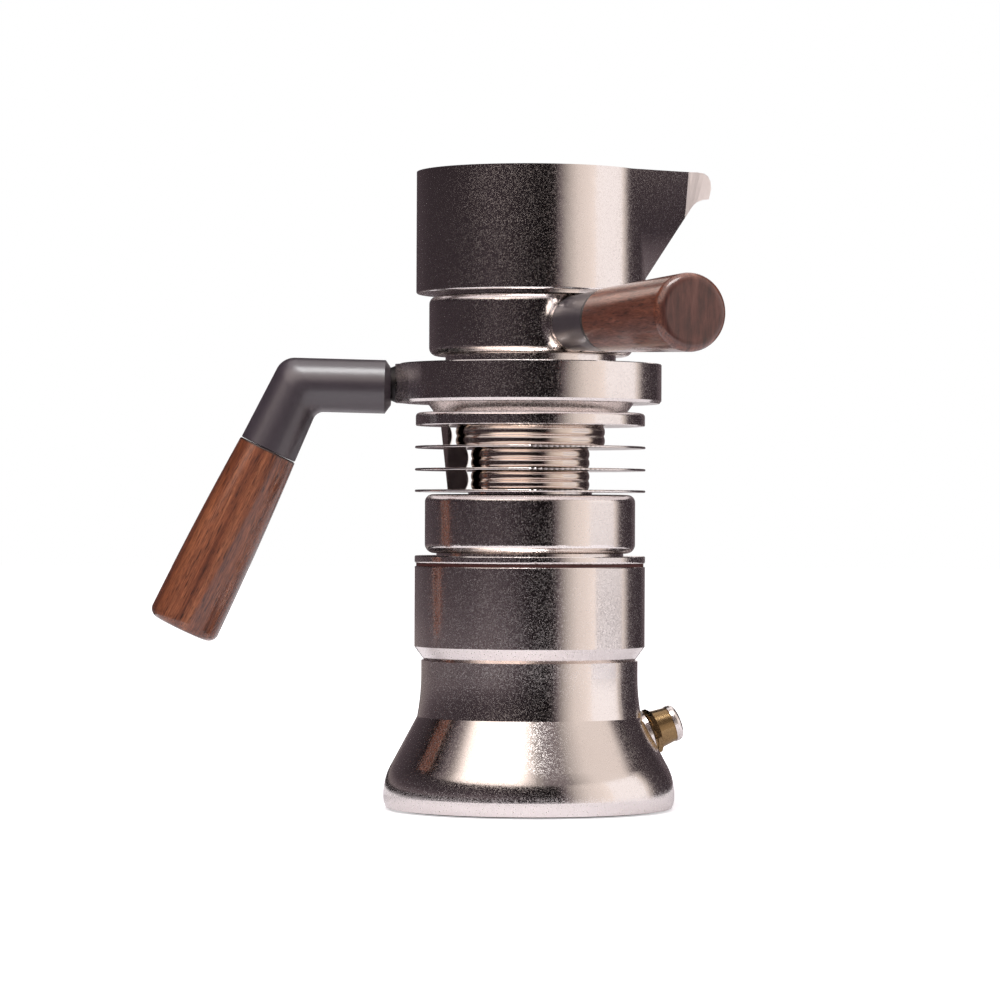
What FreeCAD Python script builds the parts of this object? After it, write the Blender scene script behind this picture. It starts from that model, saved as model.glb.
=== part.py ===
import FreeCAD, Part
import math
import os

from FreeCAD import Vector

# Stovetop espresso maker, in millimetres.
# The origin is on the machine's axis, at the face that stands on the stove; +Z is up.
# The bent handle points along -X, and the spout along +X, turned towards +Y.

# Boiler base, radii and heights
SOLE_R = 43.5
SOLE_TOP_Z = 4.0
SOLE_PROUD = 0.5
FOOT_EDGE_R = 46.2
FOOT_R = 47.0
FOOT_WIDEST_Z = 4.8
FOOT_BULGE = 0.25
SHOULDER_R = 19.5
CONE_ANGLE = 28.1
WAIST_R = 36.2
WAIST_Z = 29.8
NECK_R = 34.95
NECK_BLEND_Z = 43.0
NECK_HOLLOW = 0.31
GROOVE_Z = 47.9
GROOVE_R = 33.95
CHAMFER_TOP_Z = 52.4
BODY_R = 37.2
BASE_RIM_Z = 78.2
BASE_BORE_R = 33.6
BASE_BORE_Z = 71.0
CHAMBER_R = 31.8
WALL = 3.0
EDGE = 0.25
CUT_PAST = 1.0
RUNNING_FIT = 0.06
FACE_GAP = 0.05

# Relief valve, which stands out of the cone; t runs outwards along its axis
RELIEF_AZIMUTH = 15.0
RELIEF_ELEVATION = 20.0
RELIEF_Z = 23.9
RELIEF_BOSS_R = 8.0
RELIEF_BOSS_T = 0.25
RELIEF_SHANK_R = 3.5
RELIEF_SHANK_T = -5.0
RELIEF_WASHER_R = 6.4
RELIEF_WASHER_T = 0.65
RELIEF_HEX_FLATS = 13.0
RELIEF_GROOVE_T = 1.4
RELIEF_HEX_T = 3.3
RELIEF_NECK_FOOT_R = 6.3
RELIEF_NECK_R = 5.7
RELIEF_NECK_T = 8.6
RELIEF_PLUG_T = 7.8
RELIEF_CAP_R = 6.0
RELIEF_CAP_T = 11.3
RELIEF_ORIFICE_R = 1.2
RELIEF_CHAMBER_R = 3.0
RELIEF_HEAD_T = 3.0
RELIEF_STEM_R = 0.9
RELIEF_STEM_T = 11.9
RELIEF_SPRING_R = 1.95
RELIEF_WIRE_R = 0.3
RELIEF_HALF_TURNS = 7

# Boiler head: gasket, threaded plug and the plain lower ring
GASKET_R = 36.7
GASKET_BORE_R = 33.5
FLANGE_Z = 79.2
FLANGE_TOP_Z = 81.6
FLANGE_ROUND = 0.7
PLUG_R = 33.1
PLUG_BOTTOM_Z = 73.7
PLUG_BORE_R = 29.2
DECK_BOTTOM_Z = 77.2
REGISTER_R = 30.2
REGISTER_BORE_R = 27.0
REGISTER_TOP_Z = 83.6
RING_R = 33.95
RING_BOTTOM_Z = 82.4
RING_TOP_Z = 101.4
RING_CEILING_Z = 98.4
RING_ROUNDS = (3.0, 2.5)
RING_TOP_BOSS_R = 20.0

# Pressure regulator inside the boiler head
REGULATOR_R = 8.0
REGULATOR_BOTTOM_Z = 62.0
REGULATOR_TOP_Z = 89.0
REGULATOR_CAP_TOP_Z = 91.6
REGULATOR_HEX_FLATS = 20.0
REGULATOR_CHAMBER_R = 5.5
SEAT_R = 1.8
SEAT_Z = 67.0
SEAT_TOP_Z = 69.4
RETAINER_Z = 79.0
RETAINER_TOP_Z = 81.4
POPPET_R = 4.6
POPPET_ROD_R = 1.5
POPPET_SHOULDER_Z = 71.2
POPPET_TOP_Z = 83.0
REGULATOR_SPRING_R = 3.2
REGULATOR_WIRE_R = 0.5
REGULATOR_HALF_TURNS = 8
PICKUP_BOTTOM_Z = 7.0
PIPE_R = 2.5
PIPE_BORE_R = 1.8

# Heat exchanger coil and riser
COIL_R = 21.0
COIL_TUBE_R = 1.8
COIL_BORE_R = 1.1
COIL_Z = 86.0
COIL_PITCH = 4.0
COIL_HALF_TURNS = 5
COIL_TOP_Z = COIL_Z + COIL_PITCH * COIL_HALF_TURNS / 2
RISER_BOTTOM_Z = 93.0

# Cooling stack: fins, beaded spacers and the stay beside them
COLUMN_R = 13.8
COLUMN_BORE_R = 10.5
FIN_R = 37.2
FIN_THICKNESS = 0.75
FIN_ROUND = 0.3
FIN_BOTTOMS_Z = (102.1, 109.0, 116.2)
THICK_FIN_Z = 123.5
THICK_FIN_TOP_Z = 127.7
THICK_FIN_R = 37.0
THICK_FIN_ROUND = 1.3
BEAD_BULGE = 0.6
CREASE_DEPTH = 0.35
SLIM_BEAD_R = 19.15
WIDE_BEAD_R = 24.1
STAY_HALF_WIDTH = 8.0
STAY_BEVEL = 3.0
STAY_TOP_R = 28.9
STAY_FOOT_R = 26.5
STAY_SLIM_R = 20.9
STAY_WIDE_R = 26.2
STAY_LOBE = 1.0

# Group head, which holds the basket and the bent handle
WELL_WALL_R = 29.0
WELL_R = 27.2
WELL_FLOOR_Z = 125.6
HEAD_NECK_R = (31.0, 33.3)
DISC_R = 42.3
DISC_BOTTOM_Z = 130.8
DISC_TOP_Z = 143.5
DISC_CHAMFER = (0.7, 0.9)
SOCKET_R = 30.2
LEDGE_Z = 136.5
NOSE_HALF_WIDTH = 6.3
NOSE_ROOT_ANGLE = 20.0
NOSE_Z = (130.95, 143.2)
BOSS_X = -43.5
STUD_AXIS_Z = 136.9

# Basket, screens and seal
SCREEN_R = 27.0
SCREEN_Z = 126.8
SCREEN_THICKNESS = 0.7
BASKET_R = 26.6
BASKET_WALL = 0.6
BASKET_Z = 128.0
BASKET_RIM_R = 29.6
BASKET_RIM_TOP_Z = 137.2
SEAL_BORE_R = 26.4
SEAL_R = 29.4
SEAL_TOP_Z = 138.95
UPPER_SCREEN_Z = 141.5
HOLE_R = 0.55
HOLE_PITCH = 4.2
HOLE_RINGS = 5

# Outlet hub and jug
SPIGOT_R = 29.8
SPIGOT_Z = 139.0
SPIGOT_BORE_R = 26.0
SPIGOT_TOP_Z = 143.0
HUB_NECK_R = 27.5
HUB_R = 32.8
HUB_BOTTOM_Z = 146.0
HUB_SHOULDER_Z = 165.2
HUB_ROUND = 2.6
HUB_BORE_R = 4.0
FUNNEL_R = 24.0
FUNNEL_SHOULDER = (16.0, 158.0)
FUNNEL_TOP_Z = 162.0
JUG_R = 37.0
JUG_WALL = 1.6
JUG_BOTTOM_Z = 166.0
JUG_FLOOR = 2.0
JUG_FOOT_ROUND = 0.7
JUG_TOP_Z = 205.3
COLUMN_PIPE_R = 4.4
COLUMN_PIPE_BORE_R = 2.4
COLUMN_FLANGE_R = 7.0
COLUMN_PIPE_TOP_Z = 188.0
COLUMN_TAIL = 6.0
COFFEE_HOLE_R = 1.3
COFFEE_HOLE_DROP = 6.0
CAP_R = 7.2
CAP_TOP_Z = 193.5
CAP_CROWN = 4.0
CAP_SIDE = 1.6
CAP_PLUG = 3.0

# Spout, square to the straight handle: at every height its walls run on from the jug's
# wall without a corner and meet in a slanted keel; the rim rises towards a curled lip
SPOUT_AZIMUTH = 24.5
KEEL_FOOT_Z = 166.2
KEEL_RUN = 0.702
SPOUT_STEPS = 8
SPOUT_TOP_Z = 207.1
RIM_RISE_X = 21.0
LIP_START = 56.2
LIP_FULLNESS = 0.56
# Stations of the lip: distance out, keel height, half width at the rim, rim height, wall.
# The first two are inside the spout's point
LIP_STATIONS = (
    (52.6, 190.4, 8.6, 207.1, 3.2),
    (54.4, 192.2, 7.95, 207.1, 2.8),
    (56.2, 193.9, 6.95, 207.1, 2.3),
    (58.1, 196.4, 5.75, 207.1, 1.75),
    (59.9, 197.95, 4.95, 207.0, 1.4),
    (62.0, 198.75, 3.75, 206.2, 1.1),
    (63.5, 198.95, 2.45, 204.7, 0.8),
    (64.3, 199.05, 1.4, 202.5, 0.6),
)

# Bent handle: a black elbow and a wooden grip, drawn level and then tilted up a little
ELBOW_R = 8.65
ELBOW_END_X = -45.0
JOINT_GAP = 0.25
ELBOW_END_Z = 135.95
ELBOW_BEND_X = -74.6
ELBOW_TILT = 1.3
ELBOW_LEAN = 25.7
ELBOW_TURN = 90 - ELBOW_LEAN + ELBOW_TILT
ELBOW_ARM = 23.2
ELBOW_BEND_GROWTH = 0.2
ELBOW_WIDE_R = 9.5
ELBOW_CHAMFER = (1.9, 2.7)
ELBOW_OUTER_ROUND = 6.4
ELBOW_INNER_ROUND = 3.6
BENT_GRIP_R = (9.7, 11.6)
BENT_GRIP_LENGTH = 64.3
BENT_GRIP_SWELL = 0.35
GRIP_ROUND = 3.0
STUD_R = 4.9
STUD_FLARE_R = 6.0
STUD_FLARE = 2.6
STUD_SINK_R = 5.6
STUD_SINK = 1.3
STUD_THREAD_R = 3.0
STUD_INNER_X = -37.5
STUD_OUTER_X = -56.0
ROD_R = 2.5
ROD_GRIP_DEPTH = 44.0
ROD_ELBOW_DEPTH = 12.0

# Straight handle: it points to the front and right, level
STRAIGHT_AZIMUTH = -65.5
STRAIGHT_Z = 155.4
STRAIGHT_BOSS_END = 35.0
STRAIGHT_BOSS_START = 27.0
STRAIGHT_BOSS_ROUND = 4.0
STRAIGHT_COLLAR_R = (8.65, 9.75)
STRAIGHT_COLLAR_END = 58.8
STRAIGHT_GROOVE = 0.8
STRAIGHT_GRIP_R = (10.05, 11.85)
STRAIGHT_GRIP_END = 116.5
STRAIGHT_GRIP_SWELL = 0
STRAIGHT_ROD_L = (22.0, 98.0)

UP = Vector(0, 0, 1)
AXIS = Vector(0, 0, 0)
FULL_TURN = 360


def cylinder(radius, bottom, top):
    """Solid cylinder on the machine's axis."""
    return Part.makeCylinder(radius, top - bottom, Vector(0, 0, bottom))


def ring(bore, radius, bottom, top):
    """Flat ring on the machine's axis."""
    return cylinder(radius, bottom, top).cut(cylinder(bore, bottom, top))


def hexagon(flats, bottom, top):
    """Hexagonal prism on the machine's axis, given across its flats."""
    corner_r = flats / 2 / math.cos(math.radians(30))
    corners = []
    for index in range(7):
        angle = math.radians(60 * index)
        corners.append(Vector(corner_r * math.cos(angle), corner_r * math.sin(angle), bottom))
    face = Part.Face(Part.makePolygon(corners))
    return face.extrude(Vector(0, 0, top - bottom))


def outline(steps):
    """Closed wire in the XZ plane. A step is a point, or a pair of points for an arc."""
    edges = []
    start = steps[0]
    last = Vector(start[0], 0, start[1])
    for step in steps[1:] + [start]:
        if isinstance(step[0], tuple):
            middle = Vector(step[0][0], 0, step[0][1])
            end = Vector(step[1][0], 0, step[1][1])
            edges.append(Part.Arc(last, middle, end).toShape())
        else:
            end = Vector(step[0], 0, step[1])
            edges.append(Part.LineSegment(last, end).toShape())
        last = end
    return Part.Wire(edges)


def turned(steps):
    """Solid turned about the machine's axis from an outline of radii and heights."""
    return Part.Face(outline(steps)).revolve(AXIS, UP, FULL_TURN)


def arc_middle(start, end, bulge):
    """Point at the middle of an arc that stands off its chord by the bulge."""
    across = end[0] - start[0]
    rise = end[1] - start[1]
    chord = math.hypot(across, rise)
    return (
        (start[0] + end[0]) / 2 + bulge * rise / chord,
        (start[1] + end[1]) / 2 - bulge * across / chord,
    )


def arc_to(start, end, bulge):
    """Outline step: an arc from start to end with the given bulge."""
    return (arc_middle(start, end, bulge), end)


def quarter(start, end):
    """Outline step: a rounded corner, close to a quarter circle, from start to end."""
    bulge = math.hypot(end[0] - start[0], end[1] - start[1]) * (math.sqrt(2) - 1) / 2
    return arc_to(start, end, bulge)


def placed_along(shape, origin, direction):
    """Copy of a shape built on +Z, moved so that its axis runs along the direction."""
    moved = shape.copy()
    moved.Placement = FreeCAD.Placement(origin, FreeCAD.Rotation(UP, direction))
    return moved


def turned_about_axis(shape, azimuth):
    """Copy of a shape turned about the machine's axis."""
    moved = shape.copy()
    moved.rotate(AXIS, UP, azimuth)
    return moved


def relief_placed(shape):
    """A relief valve piece, built on +Z from the cone's surface, set on the cone."""
    azimuth = math.radians(RELIEF_AZIMUTH)
    elevation = math.radians(RELIEF_ELEVATION)
    seat_r = WAIST_R + (WAIST_Z - RELIEF_Z) * math.tan(math.radians(CONE_ANGLE))
    origin = Vector(seat_r * math.cos(azimuth), seat_r * math.sin(azimuth), RELIEF_Z)
    direction = Vector(
        math.cos(elevation) * math.cos(azimuth),
        math.cos(elevation) * math.sin(azimuth),
        math.sin(elevation),
    )
    return placed_along(shape, origin, direction)


def straight_placed(shape):
    """A straight handle piece, built on +Z from the machine's axis outwards."""
    azimuth = math.radians(STRAIGHT_AZIMUTH)
    direction = Vector(math.cos(azimuth), math.sin(azimuth), 0)
    return placed_along(shape, Vector(0, 0, STRAIGHT_Z), direction)


def lower_placed(shape):
    """A piece built on +Z from the end of the elbow's lower arm, elbow not yet tilted."""
    turn = math.radians(ELBOW_TURN)
    direction = Vector(-math.cos(turn), 0, -math.sin(turn))
    origin = Vector(ELBOW_BEND_X, 0, ELBOW_END_Z) + direction * ELBOW_ARM
    return placed_along(shape, origin, direction)


def tilted(shape):
    """Copy of a bent handle piece tilted up about the elbow's end at the group head."""
    moved = shape.copy()
    moved.rotate(Vector(ELBOW_END_X, 0, ELBOW_END_Z), Vector(0, 1, 0), ELBOW_TILT)
    return moved


def bent_placed(shape):
    """A bent grip piece, built on +Z from the end of the elbow's lower arm."""
    return tilted(lower_placed(shape))


def hole_pattern(rings, bottom, top):
    """Rings of small holes about the axis, six more holes on each ring, as one tool."""
    holes = [Part.makeCylinder(HOLE_R, top - bottom, Vector(0, 0, bottom))]
    for ring_index in range(1, rings + 1):
        count = 6 * ring_index
        for index in range(count):
            angle = 2 * math.pi * index / count
            place = Vector(
                HOLE_PITCH * ring_index * math.cos(angle),
                HOLE_PITCH * ring_index * math.sin(angle),
                bottom,
            )
            holes.append(Part.makeCylinder(HOLE_R, top - bottom, place))
    return Part.makeCompound(holes)


def wound_rod(coil_r, rod_r, pitch, half_turns, bottom):
    """Round rod wound about the axis from half rings, each tilted to meet the next."""
    quarter_rise = pitch / 4
    halves = []
    for index in range(half_turns):
        side = 1 if index % 2 == 0 else -1
        centre = Vector(0, 0, bottom + (2 * index + 1) * quarter_rise)
        start = centre + Vector(side * coil_r, 0, -quarter_rise)
        section = Part.Face(Part.Wire(Part.makeCircle(rod_r, start, Vector(0, side, 0))))
        halves.append(section.revolve(centre, Vector(side * quarter_rise, 0, coil_r), FULL_TURN / 2))
    return halves[0].fuse(halves[1:])


def base_shell():
    """Turned boiler base: foot, cone, waist, groove and the threaded mouth."""
    slope = math.tan(math.radians(CONE_ANGLE))
    centre_r = FOOT_R - SHOULDER_R
    half = math.radians(CONE_ANGLE / 2)
    full = math.radians(CONE_ANGLE)
    shoulder_mid = (centre_r + SHOULDER_R * math.cos(half), FOOT_WIDEST_Z + SHOULDER_R * math.sin(half))
    shoulder_end = (centre_r + SHOULDER_R * math.cos(full), FOOT_WIDEST_Z + SHOULDER_R * math.sin(full))
    inner_foot_r = WAIST_R - WALL + (WAIST_Z - shoulder_end[1]) * slope
    waist = (WAIST_R, WAIST_Z)
    neck = (NECK_R, NECK_BLEND_Z)
    foot_edge = (FOOT_EDGE_R, SOLE_PROUD)
    foot_side = (FOOT_R, FOOT_WIDEST_Z)
    shell = turned([
        (SOLE_R, SOLE_PROUD),
        foot_edge,
        arc_to(foot_edge, foot_side, FOOT_BULGE),
        (shoulder_mid, shoulder_end),
        waist,
        arc_to(waist, neck, -NECK_HOLLOW),
        (NECK_R, GROOVE_Z),
        (GROOVE_R, GROOVE_Z),
        (BODY_R, CHAMFER_TOP_Z),
        (BODY_R, BASE_RIM_Z - EDGE),
        (BODY_R - EDGE, BASE_RIM_Z),
        (BASE_BORE_R, BASE_RIM_Z),
        (BASE_BORE_R, BASE_BORE_Z),
        (CHAMBER_R, BASE_BORE_Z - 2),
        (CHAMBER_R, NECK_BLEND_Z),
        (WAIST_R - WALL, WAIST_Z),
        (inner_foot_r, shoulder_end[1]),
        (SOLE_R, FOOT_WIDEST_Z + WALL),
    ])
    boss = relief_placed(cylinder(RELIEF_BOSS_R, -2, RELIEF_BOSS_T))
    seat = relief_placed(cylinder(RELIEF_BOSS_R, RELIEF_BOSS_T, RELIEF_BOSS_T + 5))
    bore = relief_placed(cylinder(RELIEF_SHANK_R, -10, RELIEF_BOSS_T))
    return shell.fuse(boss).removeSplitter().cut(seat).cut(bore)


def base_sole():
    """Flat sole pressed into the foot; it closes the boiler and meets the stove."""
    edge = 0.3
    return turned([
        (0, 0),
        (SOLE_R - edge, 0),
        (SOLE_R, edge),
        (SOLE_R, SOLE_TOP_Z),
        (0, SOLE_TOP_Z),
    ])


def relief_washer():
    return relief_placed(ring(RELIEF_SHANK_R, RELIEF_WASHER_R, RELIEF_BOSS_T, RELIEF_WASHER_T))


def relief_body():
    """Hexagonal brass body with a grooved hexagon, a neck and a threaded shank."""
    groove_half = 0.2
    groove_r = RELIEF_HEX_FLATS / 2 - 0.3
    hexagonal = hexagon(RELIEF_HEX_FLATS, RELIEF_WASHER_T, RELIEF_HEX_T)
    groove_bottom = RELIEF_GROOVE_T - groove_half
    groove_top = RELIEF_GROOVE_T + groove_half
    groove = ring(groove_r, RELIEF_HEX_FLATS, groove_bottom, groove_top)
    corner_r = RELIEF_HEX_FLATS / 2 / math.cos(math.radians(30))
    bevelled = turned([
        (0, RELIEF_WASHER_T),
        (corner_r, RELIEF_WASHER_T),
        (corner_r, RELIEF_HEX_T - 0.5),
        (corner_r - 0.9, RELIEF_HEX_T),
        (0, RELIEF_HEX_T),
    ])
    outside = hexagonal.common(bevelled).cut(groove)
    outside = outside.fuse(turned([
        (0, RELIEF_HEX_T - 1),
        (RELIEF_NECK_R, RELIEF_HEX_T - 1),
        (RELIEF_NECK_FOOT_R, RELIEF_HEX_T),
        (RELIEF_NECK_R, RELIEF_NECK_T),
        (0, RELIEF_NECK_T),
    ]))
    outside = outside.fuse(cylinder(RELIEF_SHANK_R, RELIEF_SHANK_T, RELIEF_WASHER_T + 1))
    bore = turned([
        (0, RELIEF_SHANK_T - 1),
        (RELIEF_ORIFICE_R, RELIEF_SHANK_T - 1),
        (RELIEF_ORIFICE_R, 0.5),
        (RELIEF_CHAMBER_R, 1.6),
        (RELIEF_CHAMBER_R, RELIEF_NECK_T + 1),
        (0, RELIEF_NECK_T + 1),
    ])
    return relief_placed(outside.removeSplitter().cut(bore))


def relief_stem():
    """Poppet and tail in one; the tail comes out through the cap."""
    head_r = 2.6
    seat_t = 0.5 + FACE_GAP
    side_t = seat_t + (head_r - RELIEF_ORIFICE_R) * 1.1 / (RELIEF_CHAMBER_R - RELIEF_ORIFICE_R)
    return relief_placed(turned([
        (0, seat_t),
        (RELIEF_ORIFICE_R, seat_t),
        (head_r, side_t),
        (head_r, RELIEF_HEAD_T),
        (RELIEF_STEM_R, RELIEF_HEAD_T),
        (RELIEF_STEM_R, RELIEF_STEM_T - EDGE),
        (RELIEF_STEM_R - EDGE, RELIEF_STEM_T),
        (0, RELIEF_STEM_T),
    ]))


def spring_between(coil_r, wire_r, half_turns, low, high):
    """Wound spring that fills the height between two faces, a face gap from each."""
    bottom = low + FACE_GAP + wire_r
    rise = high - FACE_GAP - wire_r - bottom
    return wound_rod(coil_r, wire_r, 2 * rise / half_turns, half_turns, bottom)


def relief_spring():
    spring = spring_between(
        RELIEF_SPRING_R, RELIEF_WIRE_R, RELIEF_HALF_TURNS, RELIEF_HEAD_T, RELIEF_PLUG_T
    )
    return relief_placed(spring)


def relief_cap():
    """Steel end cap, rounded at its edge, with the tail's hole."""
    hole_r = RELIEF_STEM_R + RUNNING_FIT
    side = (RELIEF_CAP_R, RELIEF_NECK_T + 1.2)
    crown = (RELIEF_CAP_R - 1.9, RELIEF_CAP_T)
    return relief_placed(turned([
        (hole_r, RELIEF_PLUG_T),
        (RELIEF_CHAMBER_R, RELIEF_PLUG_T),
        (RELIEF_CHAMBER_R, RELIEF_NECK_T),
        (RELIEF_CAP_R, RELIEF_NECK_T),
        side,
        quarter(side, crown),
        (hole_r, RELIEF_CAP_T),
    ]))


def base_gasket():
    return ring(GASKET_BORE_R, GASKET_R, BASE_RIM_Z + FACE_GAP, FLANGE_Z - FACE_GAP)


def boiler_plug():
    """Threaded plug that closes the boiler, with its flange and the register above."""
    lower_in = (BODY_R - FLANGE_ROUND, FLANGE_Z)
    lower_out = (BODY_R, FLANGE_Z + FLANGE_ROUND)
    return turned([
        (REGULATOR_R, DECK_BOTTOM_Z),
        (PLUG_BORE_R, DECK_BOTTOM_Z),
        (PLUG_BORE_R, PLUG_BOTTOM_Z),
        (PLUG_R - 0.6, PLUG_BOTTOM_Z),
        (PLUG_R, PLUG_BOTTOM_Z + 0.6),
        (PLUG_R, FLANGE_Z),
        lower_in,
        quarter(lower_in, lower_out),
        (BODY_R, FLANGE_TOP_Z - EDGE),
        (BODY_R - EDGE, FLANGE_TOP_Z),
        (REGISTER_R, FLANGE_TOP_Z),
        (REGISTER_R, REGISTER_TOP_Z),
        (REGISTER_BORE_R, REGISTER_TOP_Z),
        (REGISTER_BORE_R, FLANGE_TOP_Z),
        (REGULATOR_R, FLANGE_TOP_Z),
    ])


def lower_ring():
    """Plain ring that houses the heat exchanger coil."""
    bottom_round, top_round = RING_ROUNDS
    bottom_in = (RING_R - bottom_round, RING_BOTTOM_Z)
    bottom_out = (RING_R, RING_BOTTOM_Z + bottom_round)
    top_out = (RING_R, RING_TOP_Z - top_round)
    top_in = (RING_R - top_round, RING_TOP_Z)
    return turned([
        (REGISTER_R, RING_BOTTOM_Z),
        bottom_in,
        quarter(bottom_in, bottom_out),
        top_out,
        quarter(top_out, top_in),
        (RING_TOP_BOSS_R, RING_TOP_Z),
        (RING_TOP_BOSS_R, FIN_BOTTOMS_Z[0]),
        (COLUMN_R, FIN_BOTTOMS_Z[0]),
        (COLUMN_R, RING_CEILING_Z),
        (REGISTER_R, RING_CEILING_Z),
    ])


def regulator_body():
    """Valve body that hangs from the plug; the coil starts at its side port."""
    hexagonal = hexagon(REGULATOR_HEX_FLATS, DECK_BOTTOM_Z - 4, DECK_BOTTOM_Z)
    outside = cylinder(REGULATOR_R, REGULATOR_BOTTOM_Z, REGULATOR_TOP_Z).fuse(hexagonal)
    bore = turned([
        (0, REGULATOR_BOTTOM_Z - 1),
        (PIPE_R, REGULATOR_BOTTOM_Z - 1),
        (PIPE_R, SEAT_Z - 2),
        (SEAT_R, SEAT_Z - 2),
        (SEAT_R, SEAT_Z),
        (REGULATOR_CHAMBER_R, SEAT_TOP_Z),
        (REGULATOR_CHAMBER_R, REGULATOR_TOP_Z + 1),
        (0, REGULATOR_TOP_Z + 1),
    ])
    port_start = Vector(REGULATOR_CHAMBER_R - 1, 0, COIL_Z)
    port = Part.makeCylinder(COIL_BORE_R, REGULATOR_R, port_start, Vector(1, 0, 0))
    return outside.removeSplitter().cut(bore).cut(port)


def regulator_cap():
    """Threaded plug that closes the regulator above its side port."""
    lid = cylinder(REGULATOR_R, REGULATOR_TOP_Z, REGULATOR_CAP_TOP_Z)
    return lid.fuse(cylinder(REGULATOR_CHAMBER_R, REGULATOR_TOP_Z - 1, REGULATOR_TOP_Z))


def regulator_poppet():
    """Cone-nosed poppet with its guide rod; the nose lies along the seat's cone."""
    slope = (SEAT_TOP_Z - SEAT_Z) / (REGULATOR_CHAMBER_R - SEAT_R)
    nose_z = SEAT_Z + FACE_GAP
    return turned([
        (0, nose_z),
        (SEAT_R, nose_z),
        (POPPET_R, nose_z + (POPPET_R - SEAT_R) * slope),
        (POPPET_R, POPPET_SHOULDER_Z),
        (POPPET_ROD_R, POPPET_SHOULDER_Z),
        (POPPET_ROD_R, POPPET_TOP_Z - EDGE),
        (POPPET_ROD_R - EDGE, POPPET_TOP_Z),
        (0, POPPET_TOP_Z),
    ])


def regulator_spring():
    return spring_between(
        REGULATOR_SPRING_R, REGULATOR_WIRE_R, REGULATOR_HALF_TURNS, POPPET_SHOULDER_Z, RETAINER_Z
    )


def regulator_retainer():
    """Threaded disc that holds the spring down, with the rod's hole and four ports."""
    disc = ring(POPPET_ROD_R + RUNNING_FIT, REGULATOR_CHAMBER_R, RETAINER_Z, RETAINER_TOP_Z)
    port_r = 0.75
    port_circle_r = 3.6
    for index in range(4):
        angle = math.radians(90 * index + 45)
        place = Vector(port_circle_r * math.cos(angle), port_circle_r * math.sin(angle), RETAINER_Z - 1)
        disc = disc.cut(Part.makeCylinder(port_r, RETAINER_TOP_Z - RETAINER_Z + 2, place))
    return disc


def pickup_tube():
    return ring(PIPE_BORE_R, PIPE_R, PICKUP_BOTTOM_Z, SEAT_Z - 2)


def coil_solid(tube_r):
    """Wound rod with a straight leg at each end: to the regulator, and to the riser."""
    wound = wound_rod(COIL_R, tube_r, COIL_PITCH, COIL_HALF_TURNS, COIL_Z)
    inlet_start = Vector(REGULATOR_R, 0, COIL_Z)
    inlet = Part.makeCylinder(tube_r, COIL_R - REGULATOR_R, inlet_start, Vector(1, 0, 0))
    outlet_start = Vector(-PIPE_R, 0, COIL_TOP_Z)
    outlet = Part.makeCylinder(tube_r, COIL_R - PIPE_R, outlet_start, Vector(-1, 0, 0))
    return wound.fuse([inlet, outlet])


def exchanger_coil():
    """Heat exchanger coil, a tube wound inside the lower ring."""
    return coil_solid(COIL_TUBE_R).cut(coil_solid(COIL_BORE_R))


def riser_tube():
    """Pipe from the coil up through the column to the floor of the basket well."""
    pipe = cylinder(PIPE_R, RISER_BOTTOM_Z, WELL_FLOOR_Z)
    pipe = pipe.cut(cylinder(PIPE_BORE_R, RISER_BOTTOM_Z + 1, WELL_FLOOR_Z))
    port = Part.makeCylinder(COIL_BORE_R, PIPE_R + 1, Vector(0, 0, COIL_TOP_Z), Vector(-1, 0, 0))
    return pipe.cut(port)


def heat_column():
    return ring(COLUMN_BORE_R, COLUMN_R, RING_CEILING_Z, THICK_FIN_Z)


def beaded_spacer(bead_r, bottom, top):
    """Spacer turned as two rounded beads with a crease between them."""
    middle = (bottom + top) / 2
    foot = (bead_r - BEAD_BULGE, bottom)
    foot_side = (bead_r, (bottom + middle) / 2)
    crease = (bead_r - CREASE_DEPTH, middle)
    head_side = (bead_r, (middle + top) / 2)
    head = (bead_r - BEAD_BULGE, top)
    return turned([
        (COLUMN_R, bottom),
        foot,
        (foot_side, crease),
        (head_side, head),
        (COLUMN_R, top),
    ])


def fin_stay():
    """Upright stay through the fins, scalloped towards the column and tapered outside."""
    foot_z = FIN_BOTTOMS_Z[0] + FIN_THICKNESS
    middle_z = FIN_BOTTOMS_Z[1] + FIN_THICKNESS / 2
    upper_z = FIN_BOTTOMS_Z[2] + FIN_THICKNESS / 2
    foot = (-STAY_SLIM_R, foot_z)
    lower_waist = (-STAY_SLIM_R, middle_z)
    upper_waist = (-STAY_SLIM_R, upper_z)
    wide_foot = (-STAY_WIDE_R, upper_z)
    wide_top = (-STAY_WIDE_R, THICK_FIN_Z)
    steps = [
        (-STAY_FOOT_R, foot_z),
        foot,
        arc_to(foot, lower_waist, STAY_LOBE),
        arc_to(lower_waist, upper_waist, STAY_LOBE),
        wide_foot,
        arc_to(wide_foot, wide_top, STAY_LOBE),
        (-STAY_TOP_R, THICK_FIN_Z),
    ]
    plate = Part.Face(outline(steps)).extrude(Vector(0, 2 * STAY_HALF_WIDTH, 0))
    plate.translate(Vector(0, -STAY_HALF_WIDTH, 0))
    # Both upright outer edges are bevelled, three times as far inwards as outwards
    reach = 2.6
    for side in (-1, 1):
        edge = Vector(-STAY_FOOT_R, side * STAY_HALF_WIDTH, foot_z - 1)
        corners = [edge, edge + Vector(-reach, 0, 0), edge + Vector(-reach, -side * reach * STAY_BEVEL, 0), edge]
        wedge = Part.Face(Part.makePolygon(corners)).extrude(Vector(0, 0, THICK_FIN_Z - foot_z + 2))
        plate = plate.cut(wedge)
    return plate


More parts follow.
